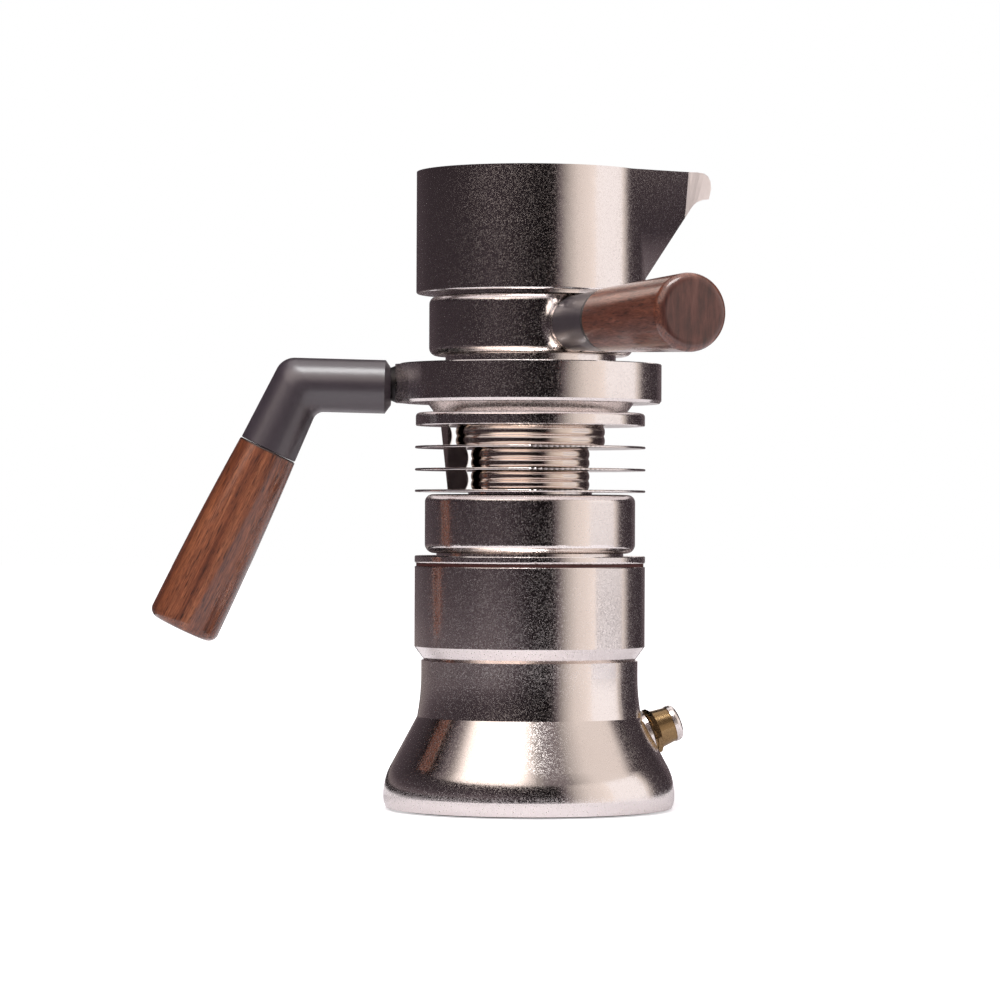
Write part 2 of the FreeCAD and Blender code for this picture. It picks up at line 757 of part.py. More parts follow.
def cooling_fin(bottom, stay):
    """Thin disc with a softened edge, cut away where the stay runs through it."""
    top = bottom + FIN_THICKNESS
    lower_in = (FIN_R - FIN_ROUND, bottom)
    lower_out = (FIN_R, bottom + FIN_ROUND)
    upper_out = (FIN_R, top - FIN_ROUND)
    upper_in = (FIN_R - FIN_ROUND, top)
    disc = turned([
        (COLUMN_R, bottom),
        lower_in,
        quarter(lower_in, lower_out),
        upper_out,
        quarter(upper_out, upper_in),
        (COLUMN_R, top),
    ])
    return disc.cut(stay)


def thick_fin():
    """Thick top fin round the basket well, rounded at its upper edge."""
    side = (THICK_FIN_R, THICK_FIN_TOP_Z - THICK_FIN_ROUND)
    top = (THICK_FIN_R - THICK_FIN_ROUND, THICK_FIN_TOP_Z)
    return turned([
        (WELL_WALL_R, THICK_FIN_Z),
        (THICK_FIN_R - EDGE, THICK_FIN_Z),
        (THICK_FIN_R, THICK_FIN_Z + EDGE),
        side,
        quarter(side, top),
        (WELL_WALL_R, THICK_FIN_TOP_Z),
    ])


def group_head():
    """Disc with the basket well, the threaded socket above it and a blunt nose for the handle."""
    body = turned([
        (PIPE_R, THICK_FIN_Z),
        (WELL_WALL_R, THICK_FIN_Z),
        (WELL_WALL_R, THICK_FIN_TOP_Z),
        (HEAD_NECK_R[0], THICK_FIN_TOP_Z),
        (HEAD_NECK_R[1], DISC_BOTTOM_Z),
        (DISC_R - DISC_CHAMFER[0], DISC_BOTTOM_Z),
        (DISC_R, DISC_BOTTOM_Z + DISC_CHAMFER[1]),
        (DISC_R, DISC_TOP_Z - EDGE),
        (DISC_R - EDGE, DISC_TOP_Z),
        (SOCKET_R + 0.8, DISC_TOP_Z),
        (SOCKET_R, DISC_TOP_Z - 0.8),
        (SOCKET_R, LEDGE_Z),
        (WELL_R, LEDGE_Z),
        (WELL_R, WELL_FLOOR_Z),
        (PIPE_R, WELL_FLOOR_Z),
    ])
    root_angle = math.radians(NOSE_ROOT_ANGLE)
    root = Vector(-DISC_R * math.cos(root_angle), DISC_R * math.sin(root_angle), NOSE_Z[0])
    tip = Vector(BOSS_X, NOSE_HALF_WIDTH, NOSE_Z[0])
    inner = root + (root - tip) * 0.3
    far_root = Vector(inner.x, -inner.y, inner.z)
    far_tip = Vector(tip.x, -tip.y, tip.z)
    plan = Part.Face(Part.makePolygon([tip, inner, far_root, far_tip, tip]))
    nose = plan.extrude(Vector(0, 0, NOSE_Z[1] - NOSE_Z[0]))
    hole_start = Vector(STUD_INNER_X, 0, STUD_AXIS_Z)
    hole = Part.makeCylinder(STUD_THREAD_R, 10, hole_start, Vector(-1, 0, 0))
    return body.fuse(nose).cut(hole)


def shower_screen():
    """Perforated disc on a low rim, at the bottom of the well."""
    disc = cylinder(SCREEN_R, SCREEN_Z, SCREEN_Z + SCREEN_THICKNESS)
    disc = disc.cut(hole_pattern(HOLE_RINGS, SCREEN_Z - CUT_PAST, SCREEN_Z + 2 * CUT_PAST))
    return disc.fuse(ring(SCREEN_R - 1.5, SCREEN_R, WELL_FLOOR_Z, SCREEN_Z)).removeSplitter()


def coffee_basket():
    """Thin pressed basket with a perforated floor and a flat rim."""
    cup = turned([
        (0, BASKET_Z),
        (BASKET_R, BASKET_Z),
        (BASKET_R, LEDGE_Z + FACE_GAP),
        (BASKET_RIM_R, LEDGE_Z + FACE_GAP),
        (BASKET_RIM_R, BASKET_RIM_TOP_Z),
        (BASKET_R - BASKET_WALL, BASKET_RIM_TOP_Z),
        (BASKET_R - BASKET_WALL, BASKET_Z + BASKET_WALL),
        (0, BASKET_Z + BASKET_WALL),
    ])
    return cup.cut(hole_pattern(HOLE_RINGS, BASKET_Z - CUT_PAST, BASKET_Z + 2 * CUT_PAST))


def basket_seal():
    return ring(SEAL_BORE_R, SEAL_R, BASKET_RIM_TOP_Z, SEAL_TOP_Z)


def upper_screen():
    disc = cylinder(SPIGOT_BORE_R, UPPER_SCREEN_Z, UPPER_SCREEN_Z + SCREEN_THICKNESS)
    holes_bottom = UPPER_SCREEN_Z - CUT_PAST
    holes_top = UPPER_SCREEN_Z + 2 * CUT_PAST
    return disc.cut(hole_pattern(HOLE_RINGS, holes_bottom, holes_top))


def on_boss_side(edge):
    """True for an edge where the handle's boss meets the hub's ring."""
    azimuth = math.radians(STRAIGHT_AZIMUTH)
    outward = Vector(math.cos(azimuth), math.sin(azimuth), 0)
    for place in edge.discretize(5):
        arm = place - Vector(0, 0, STRAIGHT_Z)
        along = arm.dot(outward)
        across = (arm - outward * along).Length
        if abs(across - STRAIGHT_COLLAR_R[0]) > 0.01 or along > STRAIGHT_BOSS_END - 1:
            return False
    return True


def outlet_hub():
    """Hub under the jug: threaded spigot, neck, rounded ring and the handle's boss."""
    screen_top = UPPER_SCREEN_Z + SCREEN_THICKNESS
    bottom_in = (HUB_R - HUB_ROUND, HUB_BOTTOM_Z)
    bottom_out = (HUB_R, HUB_BOTTOM_Z + HUB_ROUND)
    top_out = (HUB_R, HUB_SHOULDER_Z - HUB_ROUND)
    top_in = (HUB_R - HUB_ROUND, HUB_SHOULDER_Z)
    body = turned([
        (SPIGOT_BORE_R, SPIGOT_Z),
        (SPIGOT_R, SPIGOT_Z),
        (SPIGOT_R, SPIGOT_TOP_Z),
        (HUB_NECK_R, SPIGOT_TOP_Z),
        (HUB_NECK_R, HUB_BOTTOM_Z),
        bottom_in,
        quarter(bottom_in, bottom_out),
        top_out,
        quarter(top_out, top_in),
        (HUB_NECK_R, HUB_SHOULDER_Z),
        (HUB_NECK_R, JUG_BOTTOM_Z),
        (HUB_BORE_R, JUG_BOTTOM_Z),
        (HUB_BORE_R, FUNNEL_TOP_Z),
        FUNNEL_SHOULDER,
        (FUNNEL_R, screen_top),
        (SPIGOT_BORE_R, screen_top),
    ])
    boss = straight_placed(cylinder(STRAIGHT_COLLAR_R[0], STRAIGHT_BOSS_START, STRAIGHT_BOSS_END))
    body = body.fuse(boss).removeSplitter()
    seam = [edge for edge in body.Edges if on_boss_side(edge)]
    body = body.makeFillet(STRAIGHT_BOSS_ROUND, seam)
    hole = straight_placed(cylinder(ROD_R, STRAIGHT_ROD_L[0], STRAIGHT_BOSS_END + 1))
    return body.cut(hole)


def keel_distance(height):
    """Distance of the spout's keel from the axis at a height."""
    return JUG_R + (height - KEEL_FOOT_Z) * KEEL_RUN


def spout_section(radius, height):
    """Level section of the jug: a round back, and two straight walls that meet at the keel."""
    keel = keel_distance(height) * radius / JUG_R
    across = radius * math.sqrt(1 - (radius / keel) ** 2)
    along = radius * radius / keel
    left = Vector(along, across, height)
    right = Vector(along, -across, height)
    point = Vector(keel, 0, height)
    back = Part.Arc(left, Vector(-radius, 0, height), right).toShape()
    return Part.Wire([
        back,
        Part.LineSegment(right, point).toShape(),
        Part.LineSegment(point, left).toShape(),
    ])


def spout_body(radius, bottom, top):
    """Jug with its spout, up to the keel's full reach, as one loft."""
    low_angle = math.acos(JUG_R / keel_distance(bottom))
    high_angle = math.acos(JUG_R / keel_distance(top))
    sections = []
    for index in range(SPOUT_STEPS + 1):
        angle = low_angle + (high_angle - low_angle) * index / SPOUT_STEPS
        height = KEEL_FOOT_Z + JUG_R * (1 / math.cos(angle) - 1) / KEEL_RUN
        sections.append(spout_section(radius, height))
    return Part.makeLoft(sections, True, False)


def above_rim():
    """Block over the rim: level round the jug, rising to the lip and rounded down its nose."""
    reach = 100
    steps = [(-reach, JUG_TOP_Z), (RIM_RISE_X, JUG_TOP_Z), (LIP_START, SPOUT_TOP_Z)]
    for distance, _, _, rim_z, _ in LIP_STATIONS[1:]:
        steps.append((distance, rim_z))
    steps.append((reach, LIP_STATIONS[-1][3]))
    steps.append((reach, JUG_TOP_Z + reach))
    steps.append((-reach, JUG_TOP_Z + reach))
    block = Part.Face(outline(steps)).extrude(Vector(0, 2 * reach, 0))
    block.translate(Vector(0, -reach, 0))
    return block


def lip_loft(carved):
    """Lip as a loft of full-sided wedges; carved gives the channel in it."""
    sections = []
    for distance, keel_z, half_width, rim_z, wall in LIP_STATIONS:
        slope = half_width / (rim_z - keel_z)
        low_z = keel_z
        high_z = SPOUT_TOP_Z + 1
        half = (high_z - keel_z) * slope
        if carved:
            low_z = keel_z + wall / slope
            half = half - wall
        low = Vector(distance, 0, low_z)
        middle_z = (low_z + high_z) / 2
        left = Vector(distance, half, high_z)
        right = Vector(distance, -half, high_z)
        left_side = Part.Arc(low, Vector(distance, half * LIP_FULLNESS, middle_z), left)
        right_side = Part.Arc(right, Vector(distance, -half * LIP_FULLNESS, middle_z), low)
        rim = Part.LineSegment(left, right)
        sections.append(Part.Wire([left_side.toShape(), rim.toShape(), right_side.toShape()]))
    return Part.makeLoft(sections, True, True)


def jug_shell():
    """Thin-walled jug with a flat floor and the spout."""
    floor_z = JUG_BOTTOM_Z + JUG_FLOOR
    foot_top_z = JUG_BOTTOM_Z + JUG_FOOT_ROUND
    foot_in = (JUG_R - JUG_FOOT_ROUND, JUG_BOTTOM_Z)
    foot = turned([
        (0, JUG_BOTTOM_Z),
        foot_in,
        quarter(foot_in, (JUG_R, foot_top_z)),
        (0, foot_top_z),
    ])
    outside = spout_body(JUG_R, foot_top_z, SPOUT_TOP_Z + 1).fuse([foot, lip_loft(False)])
    hollow = spout_body(JUG_R - JUG_WALL, floor_z, SPOUT_TOP_Z + 1).fuse(lip_loft(True))
    hole = cylinder(HUB_BORE_R, JUG_BOTTOM_Z - 1, floor_z + 1)
    shell = outside.cut(hollow).cut(above_rim()).cut(hole)
    return turned_about_axis(shell, SPOUT_AZIMUTH)


def outlet_column():
    """Pipe that stands in the jug; the coffee leaves it by four holes under the cap."""
    floor_z = JUG_BOTTOM_Z + JUG_FLOOR
    pipe = turned([
        (COLUMN_PIPE_BORE_R, HUB_SHOULDER_Z - COLUMN_TAIL),
        (HUB_BORE_R, HUB_SHOULDER_Z - COLUMN_TAIL),
        (HUB_BORE_R, floor_z),
        (COLUMN_FLANGE_R, floor_z),
        (COLUMN_FLANGE_R, floor_z + 1.0),
        (COLUMN_PIPE_R + 0.6, floor_z + 1.6),
        (COLUMN_PIPE_R, floor_z + 3.0),
        (COLUMN_PIPE_R, COLUMN_PIPE_TOP_Z),
        (COLUMN_PIPE_BORE_R, COLUMN_PIPE_TOP_Z),
    ])
    for index in range(4):
        angle = math.radians(90 * index + 45)
        outward = Vector(math.cos(angle), math.sin(angle), 0)
        start = Vector(0, 0, COLUMN_PIPE_TOP_Z - COFFEE_HOLE_DROP)
        pipe = pipe.cut(Part.makeCylinder(COFFEE_HOLE_R, COLUMN_PIPE_R + CUT_PAST, start, outward))
    return pipe


def column_cap():
    """Domed cap pushed into the top of the pipe."""
    side = (CAP_R, COLUMN_PIPE_TOP_Z + CAP_SIDE)
    crown = (CAP_R - CAP_CROWN, CAP_TOP_Z)
    return turned([
        (0, COLUMN_PIPE_TOP_Z - CAP_PLUG),
        (COLUMN_PIPE_BORE_R, COLUMN_PIPE_TOP_Z - CAP_PLUG),
        (COLUMN_PIPE_BORE_R, COLUMN_PIPE_TOP_Z),
        (CAP_R - EDGE, COLUMN_PIPE_TOP_Z),
        (CAP_R, COLUMN_PIPE_TOP_Z + EDGE),
        side,
        quarter(side, crown),
        (0, CAP_TOP_Z),
    ])


def straight_collar():
    """Black collar between the hub and the straight grip, a little wider outwards."""
    start_r, end_r = STRAIGHT_COLLAR_R
    body = turned([
        (ROD_R, STRAIGHT_BOSS_END),
        (start_r - EDGE, STRAIGHT_BOSS_END),
        (start_r, STRAIGHT_BOSS_END + EDGE),
        (end_r, STRAIGHT_COLLAR_END - EDGE),
        (end_r - EDGE, STRAIGHT_COLLAR_END),
        (ROD_R, STRAIGHT_COLLAR_END),
    ])
    return straight_placed(body)


def wooden_grip(radii, swell, start, end, bore_depth):
    """Tapered grip on +Z, rounded at its free end, with a blind hole for its rod."""
    start_r, end_r = radii
    shoulder = (start_r, start + EDGE)
    side = (end_r, end - GRIP_ROUND)
    face = (end_r - GRIP_ROUND, end)
    flank = arc_to(shoulder, side, swell) if swell else side
    return turned([
        (ROD_R, start),
        (start_r - EDGE, start),
        shoulder,
        flank,
        quarter(side, face),
        (0, end),
        (0, start + bore_depth),
        (ROD_R, start + bore_depth),
    ])


def straight_grip():
    start = STRAIGHT_COLLAR_END + STRAIGHT_GROOVE
    depth = STRAIGHT_ROD_L[1] - start
    grip = wooden_grip(STRAIGHT_GRIP_R, STRAIGHT_GRIP_SWELL, start, STRAIGHT_GRIP_END, depth)
    return straight_placed(grip)


def straight_rod():
    return straight_placed(cylinder(ROD_R, STRAIGHT_ROD_L[0], STRAIGHT_ROD_L[1]))


def elbow_rounds():
    """Points across the bend, on the outer round and on the inner fillet, and their growth."""
    turn = math.radians(ELBOW_TURN)
    half_tan = math.tan(turn / 2)
    outer_x = ELBOW_BEND_X - (ELBOW_R - ELBOW_OUTER_ROUND) * half_tan
    outer_z = ELBOW_END_Z + ELBOW_R - ELBOW_OUTER_ROUND
    inner_x = ELBOW_BEND_X + (ELBOW_R + ELBOW_INNER_ROUND) * half_tan
    inner_z = ELBOW_END_Z - ELBOW_R - ELBOW_INNER_ROUND
    steps = 6
    stations = []
    for index in range(steps + 1):
        angle = turn * index / steps
        growth = ELBOW_BEND_GROWTH * index / steps
        outward = Vector(-math.sin(angle), 0, math.cos(angle))
        outer = Vector(outer_x, 0, outer_z) + outward * (ELBOW_OUTER_ROUND + growth)
        inner = Vector(inner_x, 0, inner_z) + outward * (ELBOW_INNER_ROUND - growth)
        stations.append((outer, inner, growth))
    return stations


def elbow_ellipse(outer, inner, growth):
    """Ellipse with its long axis from the inner to the outer point."""
    centre = (outer + inner) * 0.5
    across = Vector(0, ELBOW_R + growth, 0)
    return Part.Wire(Part.Ellipse(outer, centre + across, centre).toShape())


def lower_circle(radius, height):
    """Circle across the elbow's lower arm, its height counted from the arm's end."""
    return lower_placed(Part.Wire(Part.makeCircle(radius, Vector(0, 0, height), UP)))


def half_space(outer, inner, side):
    """Large block on one side of the slanted plane through the two points."""
    along = (outer - inner).normalize() * 60
    high = inner + along
    low = inner - along
    corners = [high, low, low + side, high + side, high]
    block = Part.Face(Part.makePolygon(corners)).extrude(Vector(0, 60, 0))
    block.translate(Vector(0, -30, 0))
    return block


def handle_elbow():
    """Black elbow: a straight arm, a rounded bend and a leaning arm that widens."""
    stations = elbow_rounds()
    sections = [elbow_ellipse(*station) for station in stations]
    bend = Part.makeLoft(sections, True, False)
    arm_length = ELBOW_END_X - ELBOW_BEND_X + 2 * ELBOW_R
    arm = placed_along(turned([
        (0, 0),
        (ELBOW_R - ELBOW_CHAMFER[1], 0),
        (ELBOW_R, ELBOW_CHAMFER[0]),
        (ELBOW_R, arm_length),
        (0, arm_length),
    ]), Vector(ELBOW_END_X, 0, ELBOW_END_Z), Vector(-1, 0, 0))
    arm = arm.common(half_space(stations[0][0], stations[0][1], Vector(60, 0, 0)))
    leaning = Part.makeLoft([
        sections[-1],
        lower_circle(ELBOW_WIDE_R, -EDGE),
        lower_circle(ELBOW_WIDE_R - EDGE, 0),
    ], True, True)
    elbow = tilted(bend.fuse([arm, leaning]))
    stud_hole = turned([
        (0, -1),
        (STUD_SINK_R, -1),
        (STUD_SINK_R, 0),
        (STUD_R, STUD_SINK),
        (STUD_R, ELBOW_END_X - STUD_OUTER_X),
        (0, ELBOW_END_X - STUD_OUTER_X),
    ])
    stud_hole = placed_along(stud_hole, Vector(ELBOW_END_X, 0, STUD_AXIS_Z), Vector(-1, 0, 0))
    rod_hole = bent_placed(cylinder(ROD_R, -ROD_ELBOW_DEPTH, 1))
    return elbow.cut(stud_hole).cut(rod_hole)


def handle_stud():
    """Stud between the group head's boss and the elbow, flared where it meets the boss."""
    stud = turned([
        (0, -STUD_INNER_X),
        (STUD_THREAD_R, -STUD_INNER_X),
        (STUD_THREAD_R, -BOSS_X),
        (STUD_FLARE_R, -BOSS_X),
        (STUD_R, -BOSS_X + STUD_FLARE),
        (STUD_R, -STUD_OUTER_X),
        (0, -STUD_OUTER_X),
    ])
    return placed_along(stud, Vector(0, 0, STUD_AXIS_Z), Vector(-1, 0, 0))


def bent_grip():
    depth = ROD_GRIP_DEPTH - JOINT_GAP
    grip = wooden_grip(BENT_GRIP_R, BENT_GRIP_SWELL, JOINT_GAP, BENT_GRIP_LENGTH, depth)
    return bent_placed(grip)


def bent_grip_rod():
    return bent_placed(cylinder(ROD_R, -ROD_ELBOW_DEPTH, ROD_GRIP_DEPTH))


os.makedirs("parts", exist_ok=True)
stay = fin_stay()
pieces = {
    "base_shell": base_shell(),
    "base_sole": base_sole(),
    "relief_washer": relief_washer(),
    "relief_body": relief_body(),
    "relief_stem": relief_stem(),
    "relief_spring": relief_spring(),
    "relief_cap": relief_cap(),
    "base_gasket": base_gasket(),
    "boiler_plug": boiler_plug(),
    "lower_ring": lower_ring(),
    "regulator_body": regulator_body(),
    "regulator_cap": regulator_cap(),
    "regulator_poppet": regulator_poppet(),
    "regulator_spring": regulator_spring(),
    "regulator_retainer": regulator_retainer(),
    "pickup_tube": pickup_tube(),
    "exchanger_coil": exchanger_coil(),
    "riser_tube": riser_tube(),
    "heat_column": heat_column(),
    "fin_lower": cooling_fin(FIN_BOTTOMS_Z[0], stay),
    "fin_middle": cooling_fin(FIN_BOTTOMS_Z[1], stay),
    "fin_upper": cooling_fin(FIN_BOTTOMS_Z[2], stay),
    "spacer_lower": beaded_spacer(
        SLIM_BEAD_R, FIN_BOTTOMS_Z[0] + FIN_THICKNESS, FIN_BOTTOMS_Z[1]
    ),
    "spacer_middle": beaded_spacer(
        SLIM_BEAD_R, FIN_BOTTOMS_Z[1] + FIN_THICKNESS, FIN_BOTTOMS_Z[2]
    ),
    "spacer_upper": beaded_spacer(
        WIDE_BEAD_R, FIN_BOTTOMS_Z[2] + FIN_THICKNESS, THICK_FIN_Z
    ),
    "fin_stay": stay,
    "thick_fin": thick_fin(),
    "group_head": group_head(),
    "shower_screen": shower_screen(),
    "handle_stud": handle_stud(),
    "handle_elbow": handle_elbow(),
    "bent_grip": bent_grip(),
    "bent_grip_rod": bent_grip_rod(),
    "coffee_basket": coffee_basket(),
    "basket_seal": basket_seal(),
    "upper_screen": upper_screen(),
    "outlet_hub": outlet_hub(),
    "jug_shell": jug_shell(),
    "outlet_column": outlet_column(),
    "column_cap": column_cap(),
    "straight_collar": straight_collar(),
    "straight_grip": straight_grip(),
    "straight_grip_rod": straight_rod(),
}
for name, shape in pieces.items():
    shape.exportStep("parts/" + name + ".step")
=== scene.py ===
import math

import bmesh
import bpy
from mathutils import Euler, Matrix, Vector


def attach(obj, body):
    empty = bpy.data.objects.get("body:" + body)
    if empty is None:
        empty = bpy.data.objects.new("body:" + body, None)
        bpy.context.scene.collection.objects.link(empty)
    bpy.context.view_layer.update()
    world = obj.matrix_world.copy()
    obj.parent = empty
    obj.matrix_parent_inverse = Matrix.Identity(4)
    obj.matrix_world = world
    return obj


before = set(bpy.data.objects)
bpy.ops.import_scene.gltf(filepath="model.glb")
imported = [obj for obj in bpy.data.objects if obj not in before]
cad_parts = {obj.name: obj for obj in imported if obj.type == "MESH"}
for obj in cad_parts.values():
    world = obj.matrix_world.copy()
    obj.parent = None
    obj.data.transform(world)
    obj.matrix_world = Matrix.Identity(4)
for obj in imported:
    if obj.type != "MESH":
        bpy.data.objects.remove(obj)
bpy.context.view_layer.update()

# Stovetop espresso maker, in metres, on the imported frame.
# The origin is on the machine's axis at the stove face; +Z is up and the camera looks along +Y.

MM = 0.001

# Nickel-plated steel where its skin is lightest and darkest
STEEL = (0.93, 0.885, 0.865)
STEEL_DARK = (0.90, 0.85, 0.825)
SPECKS_PER_METRE = 3400.0
SPECK_DULLNESS = 0.20
SKIN_SCALE = 2900.0
SKIN_DEPTH = 0.01 * MM
PATCH_SCALE = 60.0

# Powder coat and rubber
PEBBLE_SCALE = 2600.0
PEBBLE_DEPTH = 0.04 * MM
CLOUD_SCALE = 110.0
CLOUD_CONTRAST = 0.12
COAT_ROUGHNESS = 0.27

# Walnut: how many times longer than thick its layers and fibres are along the grip
LAYER_SCALE = 380.0
LAYER_STRETCH = 26.0
FIBRE_SCALE = 2300.0
FIBRE_STRETCH = 9.0
FIBRE_DEPTH = 0.03 * MM
PORE_SCALE = 2000.0
PORE_DEPTH = 0.04 * MM
LACQUER_ROUGHNESS = 0.13
LACQUER_IOR = 1.5

# Straight handle: it points to the front and right, seen from above
HANDLE_TURN = math.radians(-65.5)
HANDLE_DIRECTION = (math.cos(HANDLE_TURN), math.sin(HANDLE_TURN), 0.0)
HANDLE_HEIGHT = 155.4 * MM
COLLAR_SHADE_START = 57.7 * MM
COLLAR_SHADE_FADE = 0.3 * MM
GROOVE_START = 58.86 * MM
GROOVE_END = 59.54 * MM
GROOVE_RING_BORE_R = 2.6 * MM
GROOVE_RING_R = 9.2 * MM
RING_SIDES = 96

# Jug's folded lip: a crease across the spout, drawn back at the sides and leaning a little; past it the
# metal gets a pale painted reflection
SPOUT_TURN = math.radians(24.5)
LIP_PLACE = 42.84 * MM
LIP_SPLAY = 0.456
LIP_LEAN = 0.0656
LIP_FADE = 0.1 * MM

FLOOR_RADIUS = 6.0
FLOOR_SIDES = 96
FLOOR_DROP = 0.2 * MM
FLOOR_COLOUR = (0.80, 0.765, 0.80)
# Glow that the camera sees, and that the metal mirrors, from a near to a far distance
FLOOR_LIFT = 0.53
FLOOR_LIFT_REACH = (0.07, 0.30)
FLOOR_MIRRORED = 0.12
FLOOR_MIRRORED_REACH = (0.09, 0.22)

SKY_DIFFUSE = 0.35
SKY_TINT = (1.0, 0.925, 0.91)

# Share of green and blue in the studio cards' light, where they are dark and where light
DARK_TINT = (0.72, 0.86)
LIGHT_TINT = (0.87, 0.80)
WARM_FROM = 0.3
CARD_STEP = 2

# Camera: a long lens, level, about 1.3 m away. Places in the photograph are in its pixels
PHOTO_SIDE_PX = 1000.0
METRES_PER_PX = 0.323 * MM
FOCAL_PX = 4105.0
AXIS_PX = 530.0
HORIZON_PX = 514.6
ORIGIN_PX = 808.5
CAMERA_ROLL = 0.0041
SENSOR_WIDTH_MM = 36.0


def node_new(tree, kind, **values):
    """New shader node with its properties set."""
    made = tree.nodes.new(kind)
    for key, value in values.items():
        setattr(made, key, value)
    return made


def material(name):
    """Empty node material with its principled shader linked to the output."""
    made = bpy.data.materials.new(name)
    made.use_nodes = True
    tree = made.node_tree
    tree.nodes.clear()
    out = node_new(tree, "ShaderNodeOutputMaterial")
    shader = node_new(tree, "ShaderNodeBsdfPrincipled")
    tree.links.new(shader.outputs["BSDF"], out.inputs["Surface"])
    return made, tree, shader


def coordinates(tree, scale=(1, 1, 1), turn=(0, 0, 0), origin=(0, 0, 0)):
    """Object coordinates seen from a turned frame at the origin, shrunk along each axis."""
    place = node_new(tree, "ShaderNodeTexCoord")
    mapping = node_new(tree, "ShaderNodeMapping", vector_type="TEXTURE")
    mapping.inputs["Location"].default_value = origin
    mapping.inputs["Rotation"].default_value = [math.radians(angle) for angle in turn]
    mapping.inputs["Scale"].default_value = scale
    tree.links.new(place.outputs["Object"], mapping.inputs["Vector"])
    return mapping.outputs["Vector"]


def along(tree, direction):
    """Distance of a place from the origin along a direction."""
    place = node_new(tree, "ShaderNodeTexCoord")
    product = node_new(tree, "ShaderNodeVectorMath", operation="DOT_PRODUCT")
    product.inputs[1].default_value = direction
    tree.links.new(place.outputs["Object"], product.inputs[0])
    return product.outputs["Value"]


def noise(tree, vector, scale, detail=2.0, roughness=0.5, distortion=0.0):
    made = node_new(tree, "ShaderNodeTexNoise")
    made.inputs["Scale"].default_value = scale
    made.inputs["Detail"].default_value = detail
    made.inputs["Roughness"].default_value = roughness
    made.inputs["Distortion"].default_value = distortion
    tree.links.new(vector, made.inputs["Vector"])
    return made.outputs["Fac"]


def cells(tree, vector, scale):
    """Random value from 0 to 1 for each tiny cell of the surface."""
    made = node_new(tree, "ShaderNodeTexVoronoi")
    made.inputs["Scale"].default_value = scale
    tree.links.new(vector, made.inputs["Vector"])
    parts = node_new(tree, "ShaderNodeSeparateColor")
    tree.links.new(made.outputs["Color"], parts.inputs["Color"])
    return parts.outputs["Red"]


def maths(tree, operation, *values):
    """Math node fed with numbers or with other nodes' outputs."""
    made = node_new(tree, "ShaderNodeMath", operation=operation)
    for socket, value in zip(made.inputs, values):
        if isinstance(value, float):
            socket.default_value = value
        else:
            tree.links.new(value, socket)
    return made.outputs["Value"]


def ramp(tree, value, stops):
    """Colour ramp through (place, colour) stops."""
    made = node_new(tree, "ShaderNodeValToRGB")
    elements = made.color_ramp.elements
    while len(elements) < len(stops):
        elements.new(0.5)
    for element, (place, colour) in zip(elements, stops):
        element.position = place
        element.color = (*colour, 1.0)
    tree.links.new(value, made.inputs["Fac"])
    return made.outputs["Color"]


def spread(tree, value, low, high, start=0.0, end=1.0):
    """Value mapped from start..end to low..high."""
    made = node_new(tree, "ShaderNodeMapRange")
    made.inputs["From Min"].default_value = start
    made.inputs["From Max"].default_value = end
    made.inputs["To Min"].default_value = low
    made.inputs["To Max"].default_value = high
    tree.links.new(value, made.inputs["Value"])
    return made.outputs["Result"]


def blended(tree, kind, factor, first, second):
    """Two colours mixed; the factor is a number or another node's output."""
    made = node_new(tree, "ShaderNodeMix", data_type="RGBA", blend_type=kind)
    if isinstance(factor, float):
        made.inputs["Factor"].default_value = factor
    else:
        tree.links.new(factor, made.inputs["Factor"])
    for value, socket in ((first, made.inputs["A"]), (second, made.inputs["B"])):
        if isinstance(value, tuple):
            socket.default_value = (*value, 1.0)
        else:
            tree.links.new(value, socket)
    return made.outputs["Result"]


def bump(tree, shader, height, distance, strength=1.0, below=None):
    made = node_new(tree, "ShaderNodeBump")
    made.inputs["Strength"].default_value = strength
    made.inputs["Distance"].default_value = distance
    tree.links.new(height, made.inputs["Height"])
    if below is not None:
        tree.links.new(below, made.inputs["Normal"])
    tree.links.new(made.outputs["Normal"], shader.inputs["Normal"])
    return made.outputs["Normal"]


def metal(name, colour, dark, roughness, grain=1.0):
    """Blasted metal: a satin skin with tiny dull specks that sparkle where it mirrors the dark."""
    made, tree, shader = material(name)
    shader.inputs["Metallic"].default_value = 1.0
    even = coordinates(tree)
    specks = cells(tree, even, SPECKS_PER_METRE)
    skin = noise(tree, even, SKIN_SCALE)
    patches = noise(tree, even, PATCH_SCALE, detail=3.0)
    tint = ramp(tree, patches, [(0.3, dark), (0.7, colour)])
    tree.links.new(tint, shader.inputs["Base Color"])
    dullest = roughness + SPECK_DULLNESS * grain
    rough = spread(tree, specks, roughness, dullest, start=0.25)
    tree.links.new(rough, shader.inputs["Roughness"])
    bump(tree, shader, skin, SKIN_DEPTH, 0.5 * grain)
    return made


def paint(name, colour, roughness, specular=0.5, coat=0.0):
    """Powder coat or rubber: a fine pebbled skin with a dull sheen."""
    made, tree, shader = material(name)
    even = coordinates(tree)
    pebbles = noise(tree, even, PEBBLE_SCALE)
    cloud = noise(tree, even, CLOUD_SCALE, detail=3.0)
    low = tuple(share * (1 - CLOUD_CONTRAST) for share in colour)
    high = tuple(share * (1 + CLOUD_CONTRAST) for share in colour)
    tree.links.new(ramp(tree, cloud, [(0.3, low), (0.7, high)]), shader.inputs["Base Color"])
    rough = spread(tree, pebbles, roughness - 0.06, roughness + 0.06, 0.3, 0.7)
    tree.links.new(rough, shader.inputs["Roughness"])
    shader.inputs["Specular IOR Level"].default_value = specular
    shader.inputs["Coat Weight"].default_value = coat
    shader.inputs["Coat Roughness"].default_value = COAT_ROUGHNESS
    bump(tree, shader, pebbles, PEBBLE_DEPTH, 0.6)
    return made


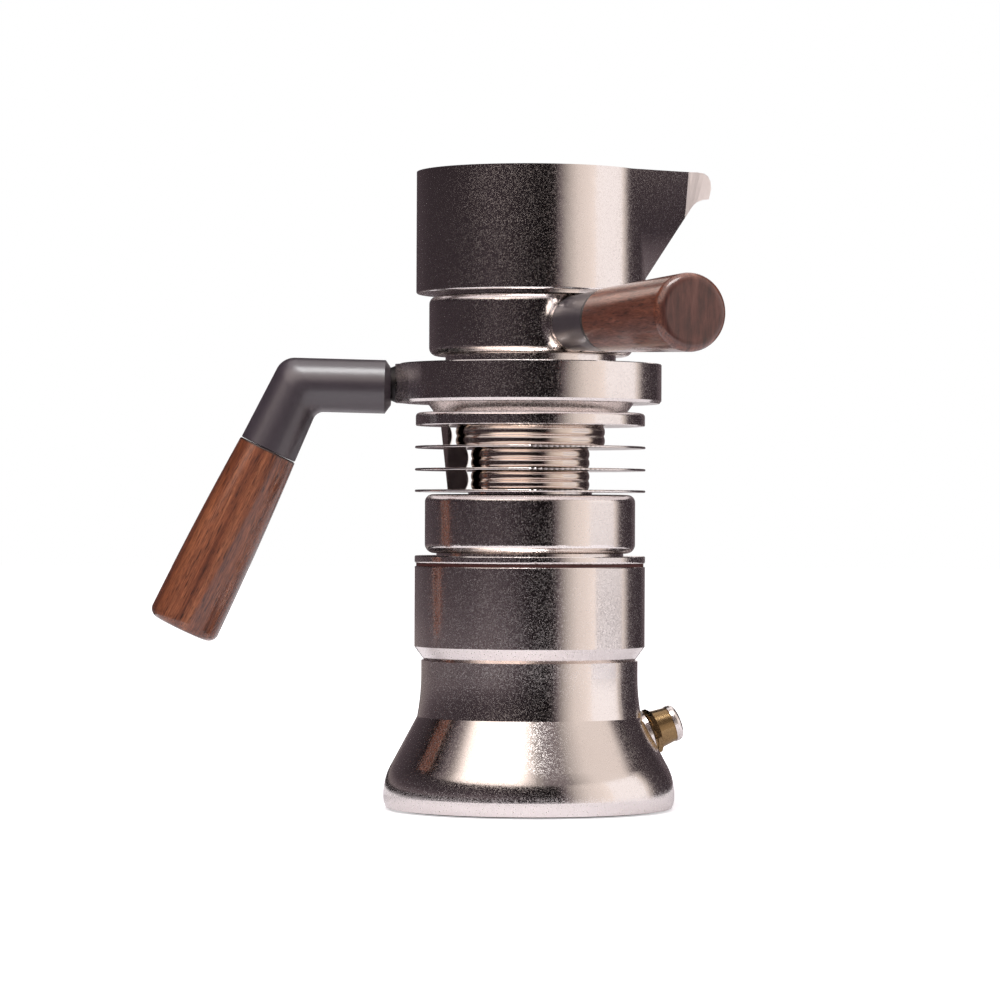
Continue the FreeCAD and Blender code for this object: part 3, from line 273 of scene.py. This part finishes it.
def grip_ends(node_name, turn, origin):
    """Distances from the origin to both ends of a grip, along its turned X axis."""
    axis = Euler([math.radians(angle) for angle in turn]).to_matrix() @ Vector((1, 0, 0))
    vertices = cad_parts[node_name].data.vertices
    places = [(vertex.co - Vector(origin)).dot(axis) for vertex in vertices]
    return min(places), max(places)


def walnut(node_name, turn, origin, deep, wide, end_shade, stops):
    """Oiled walnut: layers and fibres that run along the grip, short dark pores, lacquer.

    The growth layers are `deep` times longer than thick across the grip and `wide` times
    longer than thick up and down it. The sawn end soaks up more oil and is darker, and the
    start is darkened with painted shade beside the collar or the elbow.
    """
    made, tree, shader = material("walnut_" + node_name)
    layered = coordinates(tree, (LAYER_STRETCH, deep, wide), turn, origin)
    dashed = coordinates(tree, (FIBRE_STRETCH, 1.0, 1.0), turn, origin)
    plain = coordinates(tree, (1.0, 1.0, 1.0), turn, origin)
    layers = noise(tree, layered, LAYER_SCALE, detail=6.0, roughness=0.68, distortion=0.2)
    fibres = noise(tree, dashed, FIBRE_SCALE, detail=4.0, roughness=0.7)
    pores = noise(tree, dashed, PORE_SCALE, detail=1.0)
    base = ramp(tree, layers, stops)
    fibre_shades = [(0.32, (0.42, 0.38, 0.36)), (0.50, (1, 1, 1)), (0.68, (1.5, 1.5, 1.5))]
    fibred = blended(tree, "MULTIPLY", 0.85, base, ramp(tree, fibres, fibre_shades))
    pore_shades = [(0.30, (0.22, 0.18, 0.17)), (0.40, (1, 1, 1))]
    sided = blended(tree, "MULTIPLY", 0.85, fibred, ramp(tree, pores, pore_shades))
    place = node_new(tree, "ShaderNodeSeparateXYZ")
    tree.links.new(plain, place.inputs["Vector"])
    lengthwise = place.outputs["X"]
    start, end = grip_ends(node_name, turn, origin)
    at_end = spread(tree, lengthwise, 0.0, 1.0, end - 0.9 * MM, end - 0.1 * MM)
    sawn = blended(tree, "MULTIPLY", 1.0, base, end_shade)
    # Painted shade: the grip's start is darkened where it meets the collar or the elbow.
    start_painted_shade = spread(tree, lengthwise, 0.15, 1.0, start + 0.2 * MM, start + 0.7 * MM)
    both = blended(tree, "MIX", at_end, sided, sawn)
    colour = blended(tree, "MULTIPLY", 1.0, both, start_painted_shade)
    tree.links.new(colour, shader.inputs["Base Color"])
    tree.links.new(spread(tree, fibres, 0.55, 0.42, 0.3, 0.7), shader.inputs["Roughness"])
    shader.inputs["Coat Weight"].default_value = 1.0
    shader.inputs["Coat Roughness"].default_value = LACQUER_ROUGHNESS
    shader.inputs["Coat IOR"].default_value = LACQUER_IOR
    lower = bump(tree, shader, fibres, FIBRE_DEPTH, 0.4)
    bump(tree, shader, pores, PORE_DEPTH, 0.4, lower)
    return made


def changed_where(made, mask, colour, metallic, roughness):
    """Another colour, metallic share and roughness where the mask is 1."""
    tree = made.node_tree
    shader = next(node for node in tree.nodes if node.type == "BSDF_PRINCIPLED")
    colour_before = shader.inputs["Base Color"].links[0].from_socket
    colour_now = blended(tree, "MIX", mask(tree), colour_before, colour)
    tree.links.new(colour_now, shader.inputs["Base Color"])
    metallic_before = shader.inputs["Metallic"].default_value
    metallic_now = spread(tree, mask(tree), metallic_before, metallic)
    tree.links.new(metallic_now, shader.inputs["Metallic"])
    rough_before = shader.inputs["Roughness"].links[0].from_socket
    rough_now = node_new(tree, "ShaderNodeMix")
    tree.links.new(mask(tree), rough_now.inputs["Factor"])
    tree.links.new(rough_before, rough_now.inputs["A"])
    rough_now.inputs["B"].default_value = roughness
    tree.links.new(rough_now.outputs["Result"], shader.inputs["Roughness"])


def lip_painted_reflection_mask(tree):
    """Mask of the jug's folded lip outside its crease, where a pale, part-matte colour is painted in as a
    painted reflection of the bright studio.
    """
    out = along(tree, (math.cos(SPOUT_TURN), math.sin(SPOUT_TURN), -LIP_LEAN))
    side = along(tree, (-math.sin(SPOUT_TURN), math.cos(SPOUT_TURN), 0.0))
    past = maths(tree, "MULTIPLY_ADD", maths(tree, "ABSOLUTE", side), LIP_SPLAY, out)
    return spread(tree, past, 0.0, 1.0, LIP_PLACE - LIP_FADE, LIP_PLACE + LIP_FADE)


def collar_painted_shade_mask(tree):
    """Mask of the straight handle's collar where it meets the grip, painted near-black as painted shade.
    """
    out = along(tree, HANDLE_DIRECTION)
    start = COLLAR_SHADE_START - COLLAR_SHADE_FADE
    return spread(tree, out, 0.0, 1.0, start, COLLAR_SHADE_START + COLLAR_SHADE_FADE)


def slot_looks():
    """Material of each slot that the record names."""
    looks = {
        "base_metal": metal("satin_nickel_base", STEEL, STEEL_DARK, 0.10, 0.95),
        "sole_metal": metal("sole_steel", (0.45, 0.43, 0.42), (0.38, 0.36, 0.35), 0.42),
        "plug_metal": metal("polished_nickel_flange", STEEL, STEEL_DARK, 0.10),
        "ring_metal": metal("satin_nickel_ring", STEEL, STEEL_DARK, 0.10),
        "fin_metal": metal("polished_nickel_fins", STEEL, STEEL_DARK, 0.09, 0.3),
        # Spacers: warmer and darker than the other nickel, a painted reflection of the warm light bounced
        # between spacers and fins.
        "spacer_metal": metal("nickel_spacers_painted_warm_bounce", (0.80, 0.73, 0.67), (0.74, 0.66, 0.59), 0.11, 0.25),
        "head_metal": metal("satin_nickel_head", STEEL, STEEL_DARK, 0.10),
        "hub_metal": metal("polished_nickel_hub", STEEL, STEEL_DARK, 0.10),
        "jug_metal": metal("satin_nickel_jug", STEEL, STEEL_DARK, 0.10),
        "inner_steel": metal("inner_steel_pieces", (0.60, 0.58, 0.56), (0.52, 0.50, 0.48), 0.35),
        "stud_metal": metal("black_stud_steel", (0.06, 0.055, 0.055), (0.04, 0.04, 0.04), 0.35),
        "coil_copper": metal("coil_copper_tube", (0.72, 0.36, 0.22), (0.60, 0.28, 0.17), 0.35),
        "valve_brass": metal("valve_brass_body", (0.40, 0.27, 0.13), (0.30, 0.20, 0.10), 0.14, 0.8),
        "valve_steel": metal("valve_steel_cap", STEEL, STEEL_DARK, 0.16),
        "gasket_red": paint("red_gasket_rubber", (0.055, 0.011, 0.008), 0.6),
        "seal_rubber": paint("pale_seal_rubber", (0.35, 0.33, 0.31), 0.6),
        "elbow_black": paint("black_powder_coat", (0.046, 0.035, 0.044), 0.38, 1.0, 0.5),
        "collar_black": paint("black_collar_coat", (0.046, 0.037, 0.044), 0.36, 1.0, 0.5),
    }
    # Painted reflection: the lip past the crease gets a pale, part-matte colour in place of the bright
    # light it mirrors.
    changed_where(looks["jug_metal"], lip_painted_reflection_mask, (0.92, 0.83, 0.77), 0.30, 0.36)
    # Painted shade: the collar's end beside the grip is made near-black.
    changed_where(looks["collar_black"], collar_painted_shade_mask, (0.006, 0.005, 0.006), 0.0, 0.7)
    return looks


def node_looks():
    """Materials of the nodes that differ from the rest of their slot."""
    straight_stops = [
        (0.36, (0.066, 0.017, 0.009)),
        (0.48, (0.125, 0.035, 0.018)),
        (0.58, (0.180, 0.056, 0.030)),
        (0.70, (0.255, 0.095, 0.054)),
    ]
    bent_stops = [
        (0.36, (0.100, 0.024, 0.009)),
        (0.47, (0.180, 0.050, 0.020)),
        (0.57, (0.260, 0.082, 0.034)),
        (0.68, (0.360, 0.135, 0.062)),
    ]
    straight_turn = (0, 0, math.degrees(HANDLE_TURN))
    straight_origin = (0, 0, HANDLE_HEIGHT)
    bent_turn = (0, 115.7, 0)
    bent_origin = (-74.6 * MM, 0, 135.95 * MM)
    return {
        "relief_washer": metal("dark_washer_steel", (0.16, 0.12, 0.10), (0.09, 0.07, 0.06), 0.22, 0.5),
        "straight_grip": walnut(
            "straight_grip", straight_turn, straight_origin, 1.0, 5.0, (0.52, 0.48, 0.62), straight_stops,
        ),
        "bent_grip": walnut(
            "bent_grip", bent_turn, bent_origin, 4.0, 1.0, (0.60, 0.62, 0.65), bent_stops,
        ),
    }


def dress_nodes():
    """Each node gets its own look, or else the look of its slot."""
    by_slot = slot_looks()
    by_node = node_looks()
    for node_name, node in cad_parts.items():
        chosen = by_node.get(node_name) or by_slot[node.data.materials[0].name]
        node.data.materials.clear()
        node.data.materials.append(chosen)


def ring_piece(name, look, start, end, inner, outer):
    """Flat ring round the straight handle's axis, from start to end along it."""
    mesh = bpy.data.meshes.new(name)
    build = bmesh.new()
    rings = []
    for place, radius in ((start, inner), (start, outer), (end, outer), (end, inner)):
        ring = []
        for index in range(RING_SIDES):
            angle = 2 * math.pi * index / RING_SIDES
            ring.append(build.verts.new((place, radius * math.cos(angle), radius * math.sin(angle))))
        rings.append(ring)
    for first, second in zip(rings, rings[1:] + rings[:1]):
        for index in range(RING_SIDES):
            after = (index + 1) % RING_SIDES
            build.faces.new((first[index], first[after], second[after], second[index]))
    bmesh.ops.recalc_face_normals(build, faces=build.faces)
    build.to_mesh(mesh)
    build.free()
    mesh.materials.append(look)
    made = bpy.data.objects.new(name, mesh)
    bpy.context.scene.collection.objects.link(made)
    made.location.z = HANDLE_HEIGHT
    made.rotation_euler.z = HANDLE_TURN
    return made


def groove_ring():
    """A near-black ring fills the groove between the straight handle's collar and its grip, as painted
    shade in the groove.
    """
    # Painted shade: a near-black ring stands in the open groove so that it reads dark.
    look = paint("groove_painted_shade", (0.010, 0.008, 0.009), 0.6)
    made = ring_piece(
        "straight_groove_ring", look, GROOVE_START, GROOVE_END, GROOVE_RING_BORE_R, GROOVE_RING_R,
    )
    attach(made, "jug")


def pale_floor():
    """Floor that reads as plain white to the camera, and keeps the shadow near the object."""
    mesh = bpy.data.meshes.new("floor_mesh")
    build = bmesh.new()
    bmesh.ops.create_circle(build, cap_ends=True, radius=FLOOR_RADIUS, segments=FLOOR_SIDES)
    build.to_mesh(mesh)
    build.free()
    floor = bpy.data.objects.new("studio_floor", mesh)
    bpy.context.scene.collection.objects.link(floor)
    floor.location.z = -FLOOR_DROP
    look, tree, shader = material("pale_floor")
    shader.inputs["Base Color"].default_value = (*FLOOR_COLOUR, 1)
    shader.inputs["Roughness"].default_value = 0.9
    shader.inputs["Specular IOR Level"].default_value = 0.0
    shader.inputs["Emission Color"].default_value = (1, 1, 1, 1)
    path = node_new(tree, "ShaderNodeLightPath")
    place = node_new(tree, "ShaderNodeTexCoord")
    length = node_new(tree, "ShaderNodeVectorMath", operation="LENGTH")
    tree.links.new(place.outputs["Object"], length.inputs[0])
    distance = length.outputs["Value"]
    lift = spread(tree, distance, FLOOR_LIFT, 1.0, *FLOOR_LIFT_REACH)
    seen = maths(tree, "MULTIPLY", lift, path.outputs["Is Camera Ray"])
    glow = spread(tree, distance, 0.0, FLOOR_MIRRORED, *FLOOR_MIRRORED_REACH)
    mirrored = maths(tree, "MULTIPLY", glow, path.outputs["Is Glossy Ray"])
    tree.links.new(maths(tree, "ADD", seen, mirrored), shader.inputs["Emission Strength"])
    mesh.materials.append(look)


def white_world():
    """White to the camera, to mirrors and through glass; dimmer where it lights the object."""
    world = bpy.data.worlds.new("studio_world")
    bpy.context.scene.world = world
    world.use_nodes = True
    tree = world.node_tree
    sky = tree.nodes["Background"]
    path = node_new(tree, "ShaderNodeLightPath")
    to_camera = path.outputs["Is Camera Ray"]
    colour = blended(tree, "MIX", to_camera, SKY_TINT, (1.0, 1.0, 1.0))
    tree.links.new(colour, sky.inputs["Color"])
    seen = maths(tree, "MAXIMUM", to_camera, path.outputs["Is Glossy Ray"])
    seen_or_through = maths(tree, "MAXIMUM", seen, path.outputs["Is Transmission Ray"])
    strength = spread(tree, seen_or_through, SKY_DIFFUSE, 1.0)
    tree.links.new(strength, sky.inputs["Strength"])


def brightness_at(stops, azimuth):
    """Brightness blended between the two (azimuth, brightness) stops beside an azimuth."""
    for (start, low), (end, high) in zip(stops, stops[1:]):
        if start <= azimuth <= end:
            return low + (high - low) * (azimuth - start) / (end - start)
    return stops[-1][1]


def card_light(brightness):
    """Colour of a card's light: cool where it is dark, warm where it is bright."""
    warm = min(1.0, brightness / WARM_FROM)
    green = DARK_TINT[0] + (LIGHT_TINT[0] - DARK_TINT[0]) * warm
    blue = DARK_TINT[1] + (LIGHT_TINT[1] - DARK_TINT[1]) * warm
    return (brightness, brightness * green, brightness * blue, 1.0)


def card(name, rows):
    """Studio card bent round the object, seen only in reflections.

    A row is (radius, height, stops), and a stop is (azimuth, brightness); azimuth 0 is at
    the camera and grows to the right. Brightness blends between the stops and the rows.
    """
    first = rows[0][2][0][0]
    last = rows[0][2][-1][0]
    steps = int((last - first) / CARD_STEP)
    mesh = bpy.data.meshes.new(name)
    build = bmesh.new()
    glow = build.verts.layers.float_color.new("glow")
    grid = []
    for radius, height, stops in rows:
        line = []
        for index in range(steps + 1):
            azimuth = first + (last - first) * index / steps
            angle = math.radians(azimuth)
            vertex = build.verts.new((radius * math.sin(angle), -radius * math.cos(angle), height))
            vertex[glow] = card_light(brightness_at(stops, azimuth))
            line.append(vertex)
        grid.append(line)
    for lower, upper in zip(grid, grid[1:]):
        for index in range(steps):
            build.faces.new((lower[index], lower[index + 1], upper[index + 1], upper[index]))
    build.to_mesh(mesh)
    build.free()
    made = bpy.data.objects.new(name, mesh)
    bpy.context.scene.collection.objects.link(made)
    made.visible_camera = False
    made.visible_shadow = False
    made.visible_diffuse = False
    look = bpy.data.materials.new(name + "_look")
    look.use_nodes = True
    tree = look.node_tree
    tree.nodes.clear()
    out = node_new(tree, "ShaderNodeOutputMaterial")
    emission = node_new(tree, "ShaderNodeEmission")
    colour = node_new(tree, "ShaderNodeVertexColor", layer_name="glow")
    tree.links.new(colour.outputs["Color"], emission.inputs["Color"])
    tree.links.new(emission.outputs["Emission"], out.inputs["Surface"])
    mesh.materials.append(look)


def front_row(radius, height, gain):
    """Row of the front card: dark and uneven on the left and in front, light to the right."""
    dark = ((-177, 0.11), (-143, 0.08), (-119, 0.055), (-62, 0.045), (-40, 0.058), (-20, 0.042))
    deep = ((0, 0.012), (15, 0.004), (24, 0.012))
    light = ((30, 0.20), (36, 0.46), (46, 0.76), (58, 0.86), (66, 0.98))
    stops = [(azimuth, value * gain) for azimuth, value in dark]
    stops += [(azimuth, value * (gain + 1) / 2) for azimuth, value in deep]
    return radius, height, stops + list(light)


def high_row(radius, height, glow, left, right):
    """Row of the high card: a softbox on the left, a dimmer wall on the right, dark behind."""
    stops = [(-180, 0.003), (-95, 0.003), (-80 + left, 0.25)]
    stops += [(-68 + left, glow * 0.8), (-60 + left, glow), (-10, glow)]
    stops += [(5, 0.42), (15, 0.18), (35, 0.19), (45, 0.48), (60, 0.78)]
    stops += [(92 + right, 0.80), (100 + right, 0.25), (107 + right, 0.03), (150, 0.01)]
    return radius, height, stops


def studio_cards():
    card("front_card", [
        front_row(0.33, -0.010, 0.2),
        front_row(0.355, 0.0255, 0.2),
        front_row(0.357, 0.0275, 2.9),
        front_row(0.380, 0.045, 2.2),
        front_row(0.390, 0.055, 1.5),
        front_row(0.43, 0.090, 0.9),
        front_row(0.57, 0.200, 0.7),
        front_row(0.90, 0.470, 0.3),
    ])
    side_stops = [(101, 0.90), (107, 0.42), (112, 0.05), (140, 0.035), (152, 0.11), (172, 0.15)]
    card("side_card", [(0.33, -0.01, side_stops), (0.90, 0.47, side_stops)])
    card("high_card", [
        high_row(0.90, 0.47, 1.3, 7, 0),
        high_row(0.82, 0.62, 1.8, 5, 6),
        high_row(0.76, 0.80, 1.8, 0, 16),
        high_row(0.66, 1.05, 1.8, 0, 20),
    ])


def lamp(name, azimuth, elevation, distance, width, height, energy, mirrored):
    """Soft lamp aimed at the object from a direction; azimuth 0 is at the camera."""
    data = bpy.data.lights.new(name, "AREA")
    data.shape = "RECTANGLE"
    data.size = width
    data.size_y = height
    data.energy = energy
    made = bpy.data.objects.new(name, data)
    turn = math.radians(azimuth)
    rise = math.radians(elevation)
    level = distance * math.cos(rise)
    middle = Vector((0, 0, 0.1))
    offset = Vector((level * math.sin(turn), -level * math.cos(turn), distance * math.sin(rise)))
    made.location = middle + offset
    made.rotation_mode = "QUATERNION"
    made.rotation_quaternion = (-offset).to_track_quat("-Z", "Y")
    made.visible_glossy = mirrored
    bpy.context.scene.collection.objects.link(made)


def studio_lamps():
    lamp("overhead_strip", -6, 68, 0.85, 0.40, 0.30, 3.6, True)
    lamp("left_key", -48, 38, 1.2, 0.8, 0.8, 6.0, False)
    lamp("right_fill", 78, 28, 1.2, 0.8, 0.8, 5.0, False)


def photo_camera():
    """Camera at the photograph's view, with a small shift to the object's place in it."""
    data = bpy.data.cameras.new("photo_camera")
    camera = bpy.data.objects.new("photo_camera", data)
    bpy.context.scene.collection.objects.link(camera)
    bpy.context.scene.camera = camera
    data.sensor_width = SENSOR_WIDTH_MM
    data.lens = SENSOR_WIDTH_MM * FOCAL_PX / PHOTO_SIDE_PX
    data.shift_x = -(AXIS_PX - PHOTO_SIDE_PX / 2) / PHOTO_SIDE_PX
    data.shift_y = (HORIZON_PX - PHOTO_SIDE_PX / 2) / PHOTO_SIDE_PX
    camera.location = (0, -FOCAL_PX * METRES_PER_PX, (ORIGIN_PX - HORIZON_PX) * METRES_PER_PX)
    camera.rotation_euler = (math.radians(90), 0.0, 0.0)
    camera.rotation_euler.rotate_axis("Z", CAMERA_ROLL)
    data.clip_start = 0.05
    data.clip_end = 50.0


dress_nodes()
groove_ring()
pale_floor()
white_world()
studio_cards()
studio_lamps()
photo_camera()
bpy.context.scene.view_settings.view_transform = "Standard"
